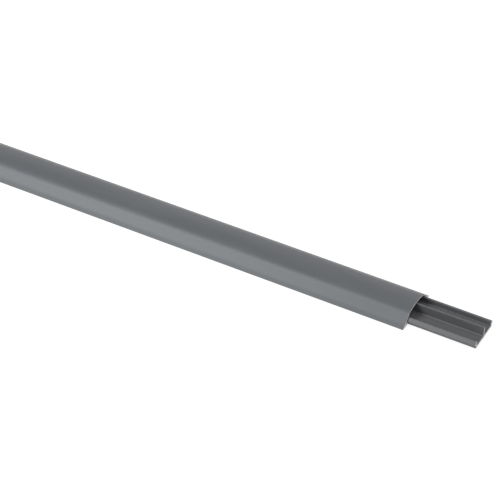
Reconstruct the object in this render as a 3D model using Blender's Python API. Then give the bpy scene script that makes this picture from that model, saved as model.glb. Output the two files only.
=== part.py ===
"""Floor cord cover: a barbed base channel and the arched cover that clips over it.

Both pieces are plastic extrusions, so each one is a flat outline, the section that the die gives it,
pulled out along X to the length it is sold in. The section lies in the YZ plane, seen from the +X end.
The cover is pushed back along the base channel, which sticks out at the +X end.
The origin lies on the floor, in the middle of the whole part. Sizes are in millimetres.
"""

import bpy
from math import acos, atan, atan2, ceil, cos, hypot, pi, sin, tan

MM = 0.001

# Both lengths, and how far the base channel sticks out of the cover
stock_length = 2000.0
stick_out = 61.0

# Arched cover, outside
cover_width = 50.0
cover_height = 13.0
crown_radius = 48.0
crown_fall = 0.187          # slope of the two flanks that the crown's arc runs into
shoulder_y = 13.0           # where the crown's flank and the side would meet
shoulder_radius = 13.4
knee_y = 21.0               # where the side and the toe would meet
knee_z = 3.3
knee_radius = 8.0
toe_edge = 0.7              # height of the toe's blunt outer edge
toe_radius = 0.25

# Arched cover, inside
crown_wall = 1.4
side_wall = 1.0
inner_shoulder_radius = 12.2
hook_reach_y = 16.2         # the hook under each barb of the base channel
hook_top_z = 3.2
hook_radius = 0.3

# Base channel
plate_half_width = 15.8
plate_top_z = 2.1
tape_recess_depth = 0.9     # two shallow recesses under the plate, one for each strip of tape
tape_recess_inner_y = 1.6
tape_recess_outer_y = 12.6
barb_root_z = 3.5
barb_tip_y = 17.85
barb_low_z = 4.0
barb_top_z = 4.4
barb_radius = 0.15
wall_outer_top_y = 15.3
wall_outer_top_z = 7.1
wall_inner_top_z = 6.6
wall_inner_y = 14.0
divider_thickness = 1.3
divider_top_z = 11.0
inner_corner_radius = 0.5
edge_radius = 0.25

# Longest chord error allowed where a round stretch becomes straight runs
chord_error = 0.004

# Finish, as linear red, green, blue and alpha
plastic_grey = (0.113, 0.120, 0.128, 1.0)
plastic_roughness = 0.42


def rounded(corners):
    """Turn the corners (y, z, radius) of a closed outline into points, with an arc at each corner."""
    points = []
    for index, (y, z, radius) in enumerate(corners):
        before = corners[index - 1]
        after = corners[(index + 1) % len(corners)]
        to_before = (before[0] - y, before[1] - z)
        to_after = (after[0] - y, after[1] - z)
        length_before = hypot(*to_before)
        length_after = hypot(*to_after)
        unit_before = (to_before[0] / length_before, to_before[1] / length_before)
        unit_after = (to_after[0] / length_after, to_after[1] / length_after)
        turn = pi - acos(unit_before[0] * unit_after[0] + unit_before[1] * unit_after[1])
        # The arc's centre lies on the corner's bisector
        bisector = (unit_before[0] + unit_after[0], unit_before[1] + unit_after[1])
        centre_distance = radius / cos(turn / 2)
        centre_y = y + bisector[0] / hypot(*bisector) * centre_distance
        centre_z = z + bisector[1] / hypot(*bisector) * centre_distance
        tangent_length = radius * tan(turn / 2)
        start_y = y + unit_before[0] * tangent_length
        start_z = z + unit_before[1] * tangent_length
        start_angle = atan2(start_z - centre_z, start_y - centre_y)
        turns_left = to_before[0] * to_after[1] - to_before[1] * to_after[0] < 0
        sweep = turn if turns_left else -turn
        steps = max(2, ceil(turn / (2 * acos(1 - chord_error / radius))))
        for number in range(steps + 1):
            angle = start_angle + sweep * number / steps
            points.append((centre_y + radius * cos(angle), centre_z + radius * sin(angle)))
    return points


def mirrored(half):
    """Close an outline from its +Y half. Corners on the middle line are shared by both halves."""
    return half + [(-y, z, radius) for y, z, radius in reversed(half) if y > 0]


def meeting_point(first_y, first_z, first_slope, second_y, second_z, second_slope):
    """Where two straight lines meet, each given by a point and its slope."""
    y = (second_z - first_z + first_slope * first_y - second_slope * second_y) / (first_slope - second_slope)
    return y, first_z + first_slope * (y - first_y)


def crown_corner(radius, top_z):
    """Height of the corner on the middle line whose arc of this radius just reaches top_z."""
    return top_z + radius * (1 / cos(atan(crown_fall)) - 1)


def cover_outline():
    """The arch: crown, shoulders, straight sides, flat toes, and a hook inside each foot."""
    apex_z = crown_corner(crown_radius, cover_height)
    shoulder_z = apex_z - crown_fall * shoulder_y
    side_slope = (knee_z - shoulder_z) / (knee_y - shoulder_y)
    inner_crown_radius = crown_radius - crown_wall
    inner_apex_z = crown_corner(inner_crown_radius, cover_height - crown_wall)
    # The side's inner face, moved in square to the side by its wall thickness
    inner_side_y = knee_y - side_wall / sin(atan(-side_slope))
    inner_shoulder_y, inner_shoulder_z = meeting_point(
        0.0, inner_apex_z, -crown_fall, inner_side_y, knee_z, side_slope
    )
    hook_root_y = inner_side_y + (hook_top_z - knee_z) / side_slope
    half = [
        (0.0, apex_z, crown_radius),
        (shoulder_y, shoulder_z, shoulder_radius),
        (knee_y, knee_z, knee_radius),
        (cover_width / 2, toe_edge, toe_radius),
        (cover_width / 2, 0.0, toe_radius),
        (hook_reach_y, 0.0, hook_radius),
        (hook_reach_y, hook_top_z, hook_radius),
        (hook_root_y, hook_top_z, hook_radius),
        (inner_shoulder_y, inner_shoulder_z, inner_shoulder_radius),
        (0.0, inner_apex_z, inner_crown_radius),
    ]
    return rounded(mirrored(half))


def base_outline():
    """The channel: a plate on three flat feet, two walls with a barb outside, a divider up the middle."""
    half_divider = divider_thickness / 2
    half = [
        (tape_recess_inner_y, 0.0, edge_radius),
        (tape_recess_inner_y, tape_recess_depth, edge_radius),
        (tape_recess_outer_y, tape_recess_depth, edge_radius),
        (tape_recess_outer_y, 0.0, edge_radius),
        (plate_half_width, 0.0, edge_radius),
        (plate_half_width, barb_root_z, edge_radius),
        (barb_tip_y, barb_low_z, barb_radius),
        (barb_tip_y, barb_top_z, barb_radius),
        (wall_outer_top_y, wall_outer_top_z, edge_radius),
        (wall_inner_y, wall_inner_top_z, edge_radius),
        (wall_inner_y, plate_top_z, inner_corner_radius),
        (half_divider, plate_top_z, inner_corner_radius),
        (half_divider, divider_top_z, edge_radius),
    ]
    return rounded(mirrored(half))


def plastic(name):
    """Satin grey plastic, straight from the die."""
    material = bpy.data.materials.new(name)
    material.use_nodes = True
    shader = material.node_tree.nodes["Principled BSDF"]
    shader.inputs["Base Color"].default_value = plastic_grey
    shader.inputs["Roughness"].default_value = plastic_roughness
    shader.inputs["Metallic"].default_value = 0.0
    return material


def extrusion(name, outline, middle_x, material, collection):
    """An outline in the YZ plane, pulled out to stock_length along X, half of it each way from middle_x."""
    curve = bpy.data.curves.new(name, "CURVE")
    curve.dimensions = "2D"
    curve.fill_mode = "BOTH"
    curve.extrude = stock_length / 2 * MM
    spline = curve.splines.new("POLY")
    spline.points.add(len(outline) - 1)
    for point, (y, z) in zip(spline.points, outline):
        point.co = (y * MM, z * MM, 0.0, 1.0)
    spline.use_cyclic_u = True
    curve.materials.append(material)
    piece = bpy.data.objects.new(name, curve)
    # The curve's own X, Y and Z become the part's Y, Z and X
    piece.rotation_euler = (pi / 2, 0.0, pi / 2)
    piece.location = (middle_x * MM, 0.0, 0.0)
    collection.objects.link(piece)


def main():
    for old in list(bpy.data.objects):
        bpy.data.objects.remove(old, do_unlink=True)
    collection = bpy.data.collections.new("floor_cord_cover")
    bpy.context.scene.collection.children.link(collection)
    extrusion("base_channel", base_outline(), stick_out / 2, plastic("base_plastic"), collection)
    extrusion("cover", cover_outline(), -stick_out / 2, plastic("cover_plastic"), collection)
    bpy.context.view_layer.update()


main()
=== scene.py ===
# %% [markdown]
# # A floor cord cover, dressed
# The real thing is a low plastic trunking for cords across a floor, in two extruded lengths: a
# base channel that lies on the floor, and an arched cover that clips over it. The solids that
# carry them could simply be given a grey material. They are built again here instead, with finer
# arcs and sawn ends, because the light on a satin skin shows every facet. The solids are loaded
# first as a fixed frame.

from math import acos, atan, ceil, cos, degrees, pi, radians, sin, tan

import bmesh
import bpy
from mathutils import Matrix, Vector


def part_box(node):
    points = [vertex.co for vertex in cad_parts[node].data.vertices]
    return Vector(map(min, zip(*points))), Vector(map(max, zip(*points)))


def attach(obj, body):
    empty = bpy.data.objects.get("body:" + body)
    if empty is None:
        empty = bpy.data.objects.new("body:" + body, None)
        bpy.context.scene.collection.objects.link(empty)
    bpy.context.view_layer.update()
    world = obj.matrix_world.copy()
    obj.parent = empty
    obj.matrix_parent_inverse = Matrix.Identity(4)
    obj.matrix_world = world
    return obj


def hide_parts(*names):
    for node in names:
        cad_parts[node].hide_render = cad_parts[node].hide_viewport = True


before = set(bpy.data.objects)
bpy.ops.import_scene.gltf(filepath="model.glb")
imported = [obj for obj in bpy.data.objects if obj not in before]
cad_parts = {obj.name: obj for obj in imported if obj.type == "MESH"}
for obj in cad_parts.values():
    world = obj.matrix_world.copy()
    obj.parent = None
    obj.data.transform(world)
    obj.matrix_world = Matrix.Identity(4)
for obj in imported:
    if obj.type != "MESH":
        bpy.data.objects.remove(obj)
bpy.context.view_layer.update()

MM = 0.001

print("solids:", sorted(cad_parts))

# %% [markdown]
# ## Sizes
# An extrusion keeps one section along its whole length, so its shape is a short list of corners,
# each with a distance from the middle, a height and a radius. A corner list is easier to read and
# to change than a drawn curve. All sizes are millimetres. Only the ends are read from the loaded
# solids, so that the new pieces are exactly as long as they are and stay on them.

# %% Read the ends of both lengths
base_ends = [corner.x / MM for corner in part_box("base_channel")]
cover_ends = [corner.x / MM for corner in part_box("cover")]
print("base from and to, in mm:", [round(x, 2) for x in base_ends])
print("cover from and to, in mm:", [round(x, 2) for x in cover_ends])

# %% [markdown]
# ## A rounded corner
# The die gives every corner of the real section a true arc. A bevel could round the corners, but
# it makes an ellipse wherever the corner isn't a right angle. So each arc is spun: one vertex,
# where the arc starts, turns about the arc's centre. The number of steps follows from how far a
# chord may leave the arc, so that the wide crown and the tiny lips come out equally smooth.

# %% Spin one vertex round a corner
CHORD_ERROR = 0.0015
LEAST_STEPS = 4
TRIAL_RADII = (0.25, 13.4, 48.0)


def arc_steps(turn, radius):
    """How many straight steps an arc needs."""
    return max(LEAST_STEPS, ceil(turn / (2 * acos(1 - CHORD_ERROR / radius))))


def spun_corner(bm, before, corner, after, radius):
    """Add the arc that rounds one corner. Returns its first and last vertex."""
    to_before = (before - corner).normalized()
    to_after = (after - corner).normalized()
    turn = pi - to_before.angle(to_after)
    start = corner + to_before * radius * tan(turn / 2)
    end = corner + to_after * radius * tan(turn / 2)
    centre = corner + (to_before + to_after).normalized() * radius / cos(turn / 2)
    axis = (start - centre).cross(end - centre).normalized()
    first = bm.verts.new(start)
    spun = bmesh.ops.spin(
        bm,
        geom=[first],
        cent=centre,
        axis=axis,
        angle=turn,
        steps=arc_steps(turn, radius),
        use_duplicate=False,
    )
    last = [element for element in spun["geom_last"] if isinstance(element, bmesh.types.BMVert)][0]
    return first, last


for trial_radius in TRIAL_RADII:
    steps = arc_steps(pi / 2, trial_radius)
    print("a quarter turn of", trial_radius, "mm radius takes", steps, "steps")

# %% [markdown]
# ## A whole section
# The section is a closed outline with no holes. Filling it as one face keeps the ends of the
# piece clean, where a triangulated fill would leave edges across the sawn plastic. Both real
# sections are the same on either side of the middle, so only one half is ever written down. A
# small square tries the drawing out first.

# %% Draw a section as one face
def both_halves(half):
    """Mirror the +Y half of a section. A corner on the middle line belongs to both halves."""
    return half + [(-y, z, radius) for y, z, radius in reversed(half) if y > 0]


def section_face(bm, corners):
    """Draw a closed section of rounded corners in the plane x = 0, and fill it."""
    points = [Vector((0.0, y, z)) for y, z, _ in corners]
    arcs = []
    for index, (_, _, radius) in enumerate(corners):
        after = points[(index + 1) % len(points)]
        arcs.append(spun_corner(bm, points[index - 1], points[index], after, radius))
    for index, (first, _) in enumerate(arcs):
        bm.edges.new((arcs[index - 1][1], first))
    bmesh.ops.edgeloop_fill(bm, edges=bm.edges[:])
    return bm.faces[:][0]


TRIAL_HALF, TRIAL_RADIUS = 1.0, 0.3

trial = bmesh.new()
trial_half = [(TRIAL_HALF, -TRIAL_HALF, TRIAL_RADIUS), (TRIAL_HALF, TRIAL_HALF, TRIAL_RADIUS)]
trial_face = section_face(trial, both_halves(trial_half))
print("a square of", 2 * TRIAL_HALF, "mm, with corners of", TRIAL_RADIUS, "mm radius,")
print("has", round(trial_face.calc_area(), 3), "square mm")
trial.free()

# %% [markdown]
# ## Sawn ends
# The real lengths are cut with a saw, which leaves a narrow blunt edge round the end. A bevel of
# the end's edges could make it, but it trips over the tiny lips of the section. An inset of the
# end face, moved back out to the full length, gives the same narrow chamfer everywhere. Both get
# a material slot of their own, because sawn plastic looks paler and rougher than the skin, and
# the slot's paler grey also carries painted light that brightens the end faces.

# %% Blunt one sawn end
SKIN_SLOT, CUT_SLOT = 0, 1


def sawn_end_with_painted_light(bm, end_face, blunt):
    """Give an end face its blunt edge and the sawn finish, with its painted light. A positive edge
    is for the +X end.
    """
    rim = bmesh.ops.inset_region(bm, faces=[end_face], thickness=abs(blunt), use_even_offset=True)
    bmesh.ops.translate(bm, verts=end_face.verts[:], vec=(blunt, 0.0, 0.0))
    for face in [end_face] + rim["faces"]:
        face.material_index = CUT_SLOT


print("slots: skin", SKIN_SLOT, "sawn end", CUT_SLOT)

# %% [markdown]
# ## From section to length
# Extruding the filled section gives the length, as the die does. A curve with a bevel profile
# could do it too, but it keeps no flat end face for the saw. Large flat faces meet small arcs all
# along the piece, and plain smooth shading would bend the light on the flats. Weighted normals
# keep each flat face flat, and a sharp edge is left only where the section really turns sharply.

# %% Extrude a section along X
SHARP_ANGLE = radians(28)
END_NORMAL = 0.5
FLAT_WEIGHT = 100


def sawn_length(name, corners, ends, blunt, materials):
    """Extrude a section between its two ends and saw both. Sizes are mm until the last step."""
    bm = bmesh.new()
    back = section_face(bm, corners)
    print(name, "section:", round(back.calc_area(), 1), "square mm")
    grown = bmesh.ops.extrude_face_region(bm, geom=[back])["geom"]
    front = [element for element in grown if isinstance(element, bmesh.types.BMFace)][0]
    length = ends[1] - ends[0] - 2 * blunt
    bmesh.ops.translate(bm, verts=front.verts[:], vec=(length, 0.0, 0.0))
    bmesh.ops.translate(bm, verts=bm.verts[:], vec=(ends[0] + blunt, 0.0, 0.0))
    bmesh.ops.recalc_face_normals(bm, faces=bm.faces[:])
    sawn_end_with_painted_light(bm, front, blunt)
    sawn_end_with_painted_light(bm, [face for face in bm.faces if face.normal.x < -END_NORMAL][0], -blunt)
    bmesh.ops.scale(bm, verts=bm.verts[:], vec=(MM, MM, MM))
    for face in bm.faces:
        face.smooth = True
    mesh = bpy.data.meshes.new(name)
    bm.to_mesh(mesh)
    bm.free()
    mesh.set_sharp_from_angle(angle=SHARP_ANGLE)
    for material in materials:
        mesh.materials.append(material)
    piece = bpy.data.objects.new(name, mesh)
    bpy.context.scene.collection.objects.link(piece)
    flats = piece.modifiers.new("flats_stay_flat", "WEIGHTED_NORMAL")
    flats.mode = "FACE_AREA"
    flats.weight = FLAT_WEIGHT
    flats.keep_sharp = True
    print(name, "has", len(mesh.polygons), "faces")
    return piece


print("turns of more than", round(degrees(SHARP_ANGLE)), "degrees stay sharp")

# %% [markdown]
# ## Shader maths
# A finish is a sum of small patterns. Drawn as nodes it is a tangle, and written as sums it is a
# few lines. This class wraps one socket of a node. Adding or multiplying two of them adds the
# Math node that does it.

# %% A socket that can be added and multiplied
class Level:
    """A number that changes over the surface."""

    def __init__(self, finish, socket):
        self.finish = finish
        self.socket = socket

    def _with(self, operation, first, second):
        return self.finish.level("ShaderNodeMath", {"operation": operation}, {0: first, 1: second})

    def __add__(self, other):
        return self._with("ADD", self, other)

    def __sub__(self, other):
        return self._with("SUBTRACT", self, other)

    def __rsub__(self, other):
        return self._with("SUBTRACT", other, self)

    def __mul__(self, other):
        return self._with("MULTIPLY", self, other)

    __radd__ = __add__
    __rmul__ = __mul__


operators = [name for name in vars(Level) if name.endswith(("add__", "sub__", "mul__"))]
print("a level can do:", operators)

# %% [markdown]
# ## One material, one way to add a node
# Every finish starts from the same shader and reads the object's own coordinates, so a pattern
# stays on its piece when the cover slides. One method adds any node: its settings first, then its
# inputs. A plain trial finish, made and removed again, shows what each one starts with.

# %% A finish
class Finish:
    """One material, with one method that adds any node."""

    def __init__(self, name):
        self.material = bpy.data.materials.new(name)
        self.material.use_nodes = True
        self.tree = self.material.node_tree
        self.shader = self.tree.nodes["Principled BSDF"]
        self.place = self.node("ShaderNodeTexCoord", {}, {}).outputs["Object"]

    def node(self, kind, settings, inputs):
        """Add a node with these settings, and a value or a link for each input named."""
        made = self.tree.nodes.new(kind)
        for setting, value in settings.items():
            setattr(made, setting, value)
        for key, value in inputs.items():
            self.feed(made.inputs[key], value)
        return made

    def feed(self, target, value):
        """Link a socket, or set its own value."""
        source = value.socket if isinstance(value, Level) else value
        if isinstance(source, bpy.types.NodeSocket):
            self.tree.links.new(source, target)
        else:
            target.default_value = source

    def level(self, kind, settings, inputs):
        """A node whose first output is a level."""
        return Level(self, self.node(kind, settings, inputs).outputs[0])


trial_finish = Finish("trial")
print("a plain finish has the nodes", [node.name for node in trial_finish.tree.nodes])
bpy.data.materials.remove(trial_finish.material)

# %% [markdown]
# ## Grain of the extruded skin
# The real plastic leaves the die with marks of its making: broad streaks, fine hair lines and a
# few grooves, all along the length, then a slight cloudiness and a very fine peel. Wave textures
# could draw the lines, but they repeat. Noise that is stretched along X doesn't, and it runs on
# round every corner of the section.

# %% Streaks, hair lines, grooves, clouds and peel
GROOVE_FROM, GROOVE_TO = 0.64, 0.74


def noise(finish, stretch, size, detail, roughness=0.5):
    """Noise from 0 to 1, with grains of this size in millimetres, so many times longer along X."""
    squeeze = {"Vector": finish.place, "Scale": (1 / stretch, 1.0, 1.0)}
    place = finish.node("ShaderNodeMapping", {}, squeeze).outputs["Vector"]
    grains = {"Vector": place, "Scale": 1 / (size * MM), "Detail": detail, "Roughness": roughness}
    return finish.level("ShaderNodeTexNoise", {"noise_dimensions": "3D"}, grains)


def ramp(finish, source, low, high):
    """A level that goes from 0 to 1 while the source goes from low to high."""
    stops = {"Value": source, "From Min": low, "From Max": high}
    return finish.level("ShaderNodeMapRange", {"interpolation_type": "SMOOTHSTEP"}, stops)


def grain(finish):
    """The patterns that the die leaves: streaks, hair lines, clouds, peel and grooves."""
    streaks = noise(finish, stretch=900.0, size=0.9, detail=3.0, roughness=0.6)
    hair = noise(finish, stretch=400.0, size=0.12, detail=1.0)
    cloud = noise(finish, stretch=6.0, size=14.0, detail=3.0)
    peel = noise(finish, stretch=1.5, size=0.35, detail=2.0)
    broad = noise(finish, stretch=2500.0, size=1.1, detail=1.0)
    grooves = ramp(finish, broad, GROOVE_FROM, GROOVE_TO)
    return streaks, hair, cloud, peel, grooves


print("a groove shows where its noise passes", GROOVE_FROM)

# %% [markdown]
# ## Colour and gloss of the skin
# The colour is a cool mid grey, right through the plastic, so it changes only a little, with the
# clouds and the streaks. What the eye sees more is the gloss: it is satin, and slightly duller in
# the streaks and grooves. The relief is under two hundredths of a millimetre, too fine for the
# mesh, so it is a bump. The base is a shade more neutral than the cover, as if from another
# batch, so one function makes a skin for each.

# %% Colour, gloss and relief of the skin
BASE_GREY = (0.105, 0.107, 0.113, 1.0)
BASE_PALE = (0.121, 0.123, 0.130, 1.0)
COVER_GREY = (0.100, 0.108, 0.116, 1.0)
COVER_PALE = (0.115, 0.124, 0.133, 1.0)
PALE_BY_CLOUD, PALE_BY_STREAK = 0.55, 0.45
MIX_FROM, MIX_TO = 0.30, 0.70
SKIN_ROUGHNESS = 0.36
ROUGHER_BY_STREAK, ROUGHER_BY_CLOUD, ROUGHER_BY_GROOVE = 0.10, 0.06, 0.10
SKIN_RELIEF = 0.016
STREAK_HEIGHT, HAIR_HEIGHT, PEEL_HEIGHT, GROOVE_DEPTH = 0.6, 0.25, 0.25, 0.5
# Where a Mix node keeps its two colours among its inputs, and the mixed one among its outputs
COLOUR_A, COLOUR_B, MIXED_COLOUR = 6, 7, 2


def mix(finish, share, first, second):
    """One colour where the share is 0, the other where it is 1."""
    inputs = {"Factor": share, COLOUR_A: first, COLOUR_B: second}
    return finish.node("ShaderNodeMix", {"data_type": "RGBA"}, inputs).outputs[MIXED_COLOUR]


def relief(finish, height, distance):
    """Bump the surface by this level. Distance is the height in millimetres of a level of 1."""
    inputs = {"Height": height, "Strength": 1.0, "Distance": distance * MM}
    bump = finish.node("ShaderNodeBump", {}, inputs)
    finish.feed(finish.shader.inputs["Normal"], bump.outputs["Normal"])


def extruded_skin(name, grey, pale):
    """The finish of one extruded length, between two greys."""
    skin = Finish(name)
    streaks, hair, cloud, peel, grooves = grain(skin)
    paleness = cloud * PALE_BY_CLOUD + streaks * PALE_BY_STREAK
    pale_share = ramp(skin, paleness, MIX_FROM, MIX_TO)
    skin.feed(skin.shader.inputs["Base Color"], mix(skin, pale_share, grey, pale))
    rougher = streaks * ROUGHER_BY_STREAK + cloud * ROUGHER_BY_CLOUD + grooves * ROUGHER_BY_GROOVE
    skin.feed(skin.shader.inputs["Roughness"], rougher + SKIN_ROUGHNESS)
    raised = streaks * STREAK_HEIGHT + hair * HAIR_HEIGHT + peel * PEEL_HEIGHT
    relief(skin, raised - grooves * GROOVE_DEPTH, SKIN_RELIEF)
    print("finish", name, "has", len(skin.tree.nodes), "nodes")
    return skin.material


base_skin = extruded_skin("base_skin", BASE_GREY, BASE_PALE)
cover_skin = extruded_skin("cover_skin", COVER_GREY, COVER_PALE)

# %% [markdown]
# ## Finish of the sawn ends, with painted light
# A saw tears the plastic instead of cutting it cleanly. The real cut is paler than the skin,
# dull, crumbly, and scored by the teeth. Its two greys here are paler still than sawn plastic,
# as painted light that brightens the end faces. A flat paler grey would look like a painted cap.
# So the same noise is used again, thin across one slanting direction for the marks of the teeth,
# and fine and even for the crumbs.

# %% Teeth marks, crumbs and painted light
# Both greys hold painted light on the end faces, on top of the paler tone of sawn plastic
CUT_GREY_WITH_PAINTED_LIGHT = (0.41, 0.42, 0.43, 1.0)
CUT_PALE_WITH_PAINTED_LIGHT = (0.49, 0.50, 0.51, 1.0)
CUT_ROUGHNESS = 0.62
CUT_RELIEF = 0.04
TEETH_SLANT = (radians(62), 0.0, 0.0)
TEETH_SQUEEZE = (1.0, 1.0, 0.05)
TEETH_SIZE = 0.28
TEETH_DETAIL = 2.0
TEETH_SHARE, CRUMB_SHARE = 0.6, 0.4

cut = Finish("sawn_end_with_painted_light")
slant = {"Vector": cut.place, "Rotation": TEETH_SLANT, "Scale": TEETH_SQUEEZE}
slanted = cut.node("ShaderNodeMapping", {}, slant).outputs["Vector"]
marks = {"Vector": slanted, "Scale": 1 / (TEETH_SIZE * MM), "Detail": TEETH_DETAIL}
teeth = cut.level("ShaderNodeTexNoise", {}, marks)
crumbs = noise(cut, stretch=1.0, size=0.16, detail=2.0)
torn = teeth * TEETH_SHARE + crumbs * CRUMB_SHARE
torn_share = ramp(cut, torn, MIX_FROM, MIX_TO)
# The end faces' colour: the sawn tone and its painted light, broken by teeth and crumbs
cut.feed(cut.shader.inputs["Base Color"], mix(cut, torn_share, CUT_GREY_WITH_PAINTED_LIGHT, CUT_PALE_WITH_PAINTED_LIGHT))
cut.feed(cut.shader.inputs["Roughness"], CUT_ROUGHNESS)
relief(cut, torn, CUT_RELIEF)
print("finish", cut.material.name, "has", len(cut.tree.nodes), "nodes")

# %% [markdown]
# ## The base channel
# The real base is a floor plate with two side walls that end in barbs, and a thin divider that
# parts the two channels. Under it are two shallow recesses for tape, between three flat feet. It
# could be put together from boxes, but it leaves the die as one piece, so it is drawn as one
# section, with a small radius on every edge. The divider's foot has a wider one, and the light
# draws it as a pale line along the channel's floor.

# %% Base channel
PLATE_TOP_Z = 2.1
HALF_PLATE = 15.8
RECESS_DEPTH = 0.9
RECESS_INNER_Y, RECESS_OUTER_Y = 1.6, 12.6
BARB_ROOT_Z, BARB_LOW_Z, BARB_TOP_Z = 3.5, 4.0, 4.4
BARB_TIP_Y = 17.85
BARB_RADIUS = 0.15
WALL_TOP = (15.3, 7.1)
WALL_INNER_Y, WALL_INNER_TOP_Z = 14.0, 6.6
HALF_DIVIDER, DIVIDER_TOP_Z = 0.65, 11.0
CORNER_RADIUS = 0.5
DIVIDER_FOOT_RADIUS = 1.0
EDGE_RADIUS = 0.25
BASE_CUT_EDGE = 0.09

base_half = [
    (RECESS_INNER_Y, 0.0, EDGE_RADIUS),
    (RECESS_INNER_Y, RECESS_DEPTH, EDGE_RADIUS),
    (RECESS_OUTER_Y, RECESS_DEPTH, EDGE_RADIUS),
    (RECESS_OUTER_Y, 0.0, EDGE_RADIUS),
    (HALF_PLATE, 0.0, EDGE_RADIUS),
    (HALF_PLATE, BARB_ROOT_Z, EDGE_RADIUS),
    (BARB_TIP_Y, BARB_LOW_Z, BARB_RADIUS),
    (BARB_TIP_Y, BARB_TOP_Z, BARB_RADIUS),
    (*WALL_TOP, EDGE_RADIUS),
    (WALL_INNER_Y, WALL_INNER_TOP_Z, EDGE_RADIUS),
    (WALL_INNER_Y, PLATE_TOP_Z, CORNER_RADIUS),
    (HALF_DIVIDER, PLATE_TOP_Z, DIVIDER_FOOT_RADIUS),
    (HALF_DIVIDER, DIVIDER_TOP_Z, EDGE_RADIUS),
]
base_section = both_halves(base_half)
base_finishes = [base_skin, cut.material]
base_piece = sawn_length("base_length", base_section, base_ends, BASE_CUT_EDGE, base_finishes)
print("base is", 2 * BARB_TIP_Y, "mm wide over its barbs")

# %% [markdown]
# ## Where the cover's arcs meet
# The real crown is one wide arc that runs into two flanks, and a tighter shoulder turns each
# flank into a steep side. The inner skin follows at the wall's thickness. Its corners could be
# typed in, but they follow from the outer ones, so they are worked out: the crossing of two
# straight lines is one line of algebra.

# %% Corners of the cover
COVER_HEIGHT = 13.0
CROWN_RADIUS, CROWN_FALL, CROWN_WALL = 48.0, 0.187, 1.4
SHOULDER_Y, SHOULDER_RADIUS, INNER_SHOULDER_RADIUS = 13.0, 13.4, 12.2
KNEE_Y, KNEE_Z, KNEE_RADIUS = 21.0, 3.3, 20.0
SIDE_WALL = 1.0
HOOK_TOP_Z = 3.2


def apex_height(radius, top):
    """Height of the corner on the middle line whose arc just touches the top."""
    return top + radius * (1 / cos(atan(CROWN_FALL)) - 1)


apex = apex_height(CROWN_RADIUS, COVER_HEIGHT)
INNER_CROWN_RADIUS = CROWN_RADIUS - CROWN_WALL
inner_apex = apex_height(INNER_CROWN_RADIUS, COVER_HEIGHT - CROWN_WALL)
shoulder_z = apex - CROWN_FALL * SHOULDER_Y
side_slope = (KNEE_Z - shoulder_z) / (KNEE_Y - SHOULDER_Y)
inner_side_y = KNEE_Y - SIDE_WALL / sin(atan(-side_slope))
inner_shoulder_y = (KNEE_Z - inner_apex - side_slope * inner_side_y) / (-CROWN_FALL - side_slope)
inner_shoulder_z = inner_apex - CROWN_FALL * inner_shoulder_y
hook_root_y = inner_side_y + (HOOK_TOP_Z - KNEE_Z) / side_slope
print("outer shoulder at", (SHOULDER_Y, round(shoulder_z, 2)))
print("inner shoulder at", (round(inner_shoulder_y, 2), round(inner_shoulder_z, 2)))
print("the side falls at", round(degrees(atan(-side_slope))), "degrees")

# %% [markdown]
# ## The arched cover
# Low down the real side bends softly into a thin toe on the floor, so that nobody trips over it.
# A small radius there would show as a hard line along the whole cover, so the bend has a wide
# one. Inside, each foot has a hook that sits under a barb of the base. As with the base, one
# drawn section gives all of it. The saw has left a broader edge here, which catches the light,
# and its pale sawn finish adds painted light, so a pale line shows round the mouth.

# %% Arched cover
TOE_Y, TOE_EDGE, TOE_RADIUS = 25.0, 0.7, 0.25
HOOK_REACH_Y, HOOK_RADIUS = 16.2, 0.3
COVER_CUT_EDGE = 0.20

cover_half = [
    (0.0, apex, CROWN_RADIUS),
    (SHOULDER_Y, shoulder_z, SHOULDER_RADIUS),
    (KNEE_Y, KNEE_Z, KNEE_RADIUS),
    (TOE_Y, TOE_EDGE, TOE_RADIUS),
    (TOE_Y, 0.0, TOE_RADIUS),
    (HOOK_REACH_Y, 0.0, HOOK_RADIUS),
    (HOOK_REACH_Y, HOOK_TOP_Z, HOOK_RADIUS),
    (hook_root_y, HOOK_TOP_Z, HOOK_RADIUS),
    (inner_shoulder_y, inner_shoulder_z, INNER_SHOULDER_RADIUS),
    (0.0, inner_apex, INNER_CROWN_RADIUS),
]
cover_section = both_halves(cover_half)
cover_finishes = [cover_skin, cut.material]
cover_piece = sawn_length("cover_length", cover_section, cover_ends, COVER_CUT_EDGE, cover_finishes)
print("cover is", 2 * TOE_Y, "mm wide and", COVER_HEIGHT, "mm high")

# %% [markdown]
# ## Riding the solids
# The real cover slides along the base. Keyframes could move it, but then each pose would need its
# own. Instead each new piece rides the body of the solid that it stands for, and takes its place
# in every pose.

# %% Tie the pieces to the solids
for piece, node, body, slot in (
    (base_piece, "base_channel", "base", "base_plastic"),
    (cover_piece, "cover", "cover", "cover_plastic"),
):
    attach(piece, body)
    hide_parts(node)
    print(piece.name, "stands for", node, "and rides on", body)

# %% [markdown]
# ## The floor
# The trunking lies on a plain pale floor, which is only a stage and no part of it. A floor that
# is lit by lamps alone has bright pools and dark far corners. This one also glows evenly, as a
# backdrop that is lit from behind does, so it stays pale from every side and the shadows on it
# stay soft. Only under the base channel it has no glow, or light would shine out of the ends of
# the tape recesses, where the real thing is dark.

# %% Finish of the floor
WHITE = (1.0, 1.0, 1.0, 1.0)
BLACK = (0.0, 0.0, 0.0, 1.0)
FLOOR_COLOUR = (0.20, 0.20, 0.20, 1.0)
FLOOR_ROUGHNESS = 0.9
FLOOR_GLOW = 0.85
SHADE_EDGE = 0.6


def outside(finish, axis, low, high):
    """A level that is 0 between two places along an axis, in millimetres, and 1 beyond them."""
    along = finish.node("ShaderNodeSeparateXYZ", {}, {"Vector": finish.place}).outputs[axis]
    from_middle = Level(finish, along) - (low + high) / 2 * MM
    distance = finish.level("ShaderNodeMath", {"operation": "ABSOLUTE"}, {0: from_middle})
    half = (high - low) / 2
    return ramp(finish, distance, (half - SHADE_EDGE) * MM, half * MM)


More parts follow.
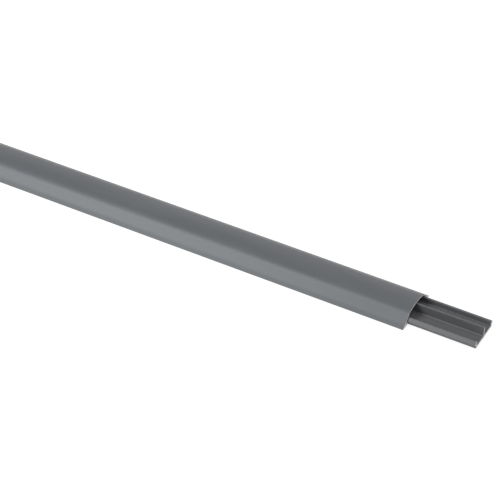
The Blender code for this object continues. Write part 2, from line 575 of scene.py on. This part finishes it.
floor_finish = Finish("pale_floor")
past_the_ends = outside(floor_finish, "X", *base_ends)
past_the_sides = outside(floor_finish, "Y", -HALF_PLATE, HALF_PLATE)
shaded = (1 - past_the_ends) * (1 - past_the_sides)
for socket, value in (
    ("Base Color", FLOOR_COLOUR),
    ("Roughness", FLOOR_ROUGHNESS),
    ("Emission Color", mix(floor_finish, shaded, WHITE, BLACK)),
    ("Emission Strength", FLOOR_GLOW),
):
    floor_finish.feed(floor_finish.shader.inputs[socket], value)
print("finish", floor_finish.material.name, "has", len(floor_finish.tree.nodes), "nodes")

# %% Floor
FLOOR_HALF = 40.0

bm = bmesh.new()
bmesh.ops.create_grid(bm, x_segments=1, y_segments=1, size=FLOOR_HALF)
floor_mesh = bpy.data.meshes.new("floor")
bm.to_mesh(floor_mesh)
bm.free()
floor_mesh.materials.append(floor_finish.material)
floor = bpy.data.objects.new("floor", floor_mesh)
bpy.context.scene.collection.objects.link(floor)
print("floor:", 2 * FLOOR_HALF, "m square")

# %% [markdown]
# ## The light
# The light is a soft studio. A tall softbox in front and to the left brightens the steep near
# side of the arch and leaves the crown darker. Two behind, one low and one high, draw the far
# flank. One high on the right reaches the channels, and a small low one the sawn ends. A weak
# even sky fills the rest. The front one and the small one are a trace cooler than the sky and the
# one on the right a trace warmer, so the grey of the plastic turns a little from one side to the
# other. Point lamps would give hard shadows and small highlights, which hide the satin skin.

# %% Softboxes and sky
SKY_LIGHT = 0.30
PLAIN_WHITE = (1.0, 1.0, 1.0)
COOL_WHITE = (0.955, 0.990, 1.0)
WARM_WHITE = (1.0, 0.893, 0.875)
LIT_SPOT_BACK = 420.0
LIT_SPOT = Vector((cover_ends[1] - LIT_SPOT_BACK, 0.0, 0.0)) * MM


def softbox(name, white, direction, distance, width, height, watts):
    """A rectangular light that faces the lit spot from this direction. Lengths are metres."""
    light = bpy.data.lights.new(name, "AREA")
    light.shape = "RECTANGLE"
    light.size = width
    light.size_y = height
    light.color = white
    light.energy = watts
    lamp = bpy.data.objects.new(name, light)
    towards = Vector(direction).normalized()
    lamp.location = LIT_SPOT + towards * distance
    lamp.rotation_euler = towards.to_track_quat("Z", "Y").to_euler()
    bpy.context.scene.collection.objects.link(lamp)
    print(name, "at", [round(v, 2) for v in lamp.location], "with", watts, "watts")


softbox("front_softbox", COOL_WHITE, (-0.39, -0.60, 0.68), 2.2, width=1.0, height=1.6, watts=38.9)
softbox("low_softbox", PLAIN_WHITE, (-0.35, 0.95, 0.22), 3.2, width=3.0, height=1.0, watts=13.0)
softbox("high_softbox", PLAIN_WHITE, (-0.30, 0.70, 0.65), 2.6, width=1.6, height=1.2, watts=3.0)
softbox("right_softbox", WARM_WHITE, (0.45, 0.10, 0.88), 2.2, width=1.2, height=1.2, watts=12.3)
softbox("end_softbox", COOL_WHITE, (0.86, -0.28, 0.42), 2.4, width=0.8, height=0.6, watts=4.1)

world = bpy.data.worlds.new("studio")
world.use_nodes = True
sky = world.node_tree.nodes["Background"]
sky.inputs["Color"].default_value = WHITE
sky.inputs["Strength"].default_value = SKY_LIGHT
bpy.context.scene.world = world
print("the sky gives", SKY_LIGHT, "of white")

# %% [markdown]
# ## The camera
# The camera looks down on the trunking from the front right, past the end where the base sticks
# out. It could be aimed at the middle and moved by eye. It is placed by angles, a distance and a
# focal length instead, which were fitted to the outline of the real one with its width held. It
# aims beside the cover's cut end: so many millimetres to the right of it in the view, and so many
# up.

# %% Camera
VIEW_PIXELS = 500
SENSOR_MM = 36.0
FOCAL_PIXELS = 1679.51
CAMERA_AZIMUTH = radians(29.968)
CAMERA_ELEVATION = radians(38.778)
AIM_RIGHT = -138.17
AIM_UP = 52.48
AIM_DISTANCE = 1396.78

right = Vector((cos(CAMERA_AZIMUTH), sin(CAMERA_AZIMUTH), 0.0))
level_ahead = Vector((-sin(CAMERA_AZIMUTH), cos(CAMERA_AZIMUTH), 0.0))
ahead = level_ahead * cos(CAMERA_ELEVATION) - Vector((0.0, 0.0, sin(CAMERA_ELEVATION)))
up = right.cross(ahead)
camera_data = bpy.data.cameras.new("camera")
camera_data.sensor_width = SENSOR_MM
camera_data.lens = FOCAL_PIXELS * SENSOR_MM / VIEW_PIXELS
camera = bpy.data.objects.new("camera", camera_data)
cut_end = Vector((cover_ends[1], 0.0, 0.0))
camera_place = cut_end + right * AIM_RIGHT + up * AIM_UP - ahead * AIM_DISTANCE
camera_turn = Matrix((right, up, -ahead)).transposed().to_4x4()
camera.matrix_world = Matrix.Translation(camera_place * MM) @ camera_turn
bpy.context.scene.collection.objects.link(camera)
bpy.context.scene.camera = camera
bpy.context.scene.view_settings.view_transform = "Standard"
print("camera at", [round(v, 3) for v in camera.location])
print("its lens has a focal length of", round(camera_data.lens, 1), "mm")

# %% [markdown]
# ## The size, once more
# The dressed pieces must fill the same box as the solids.
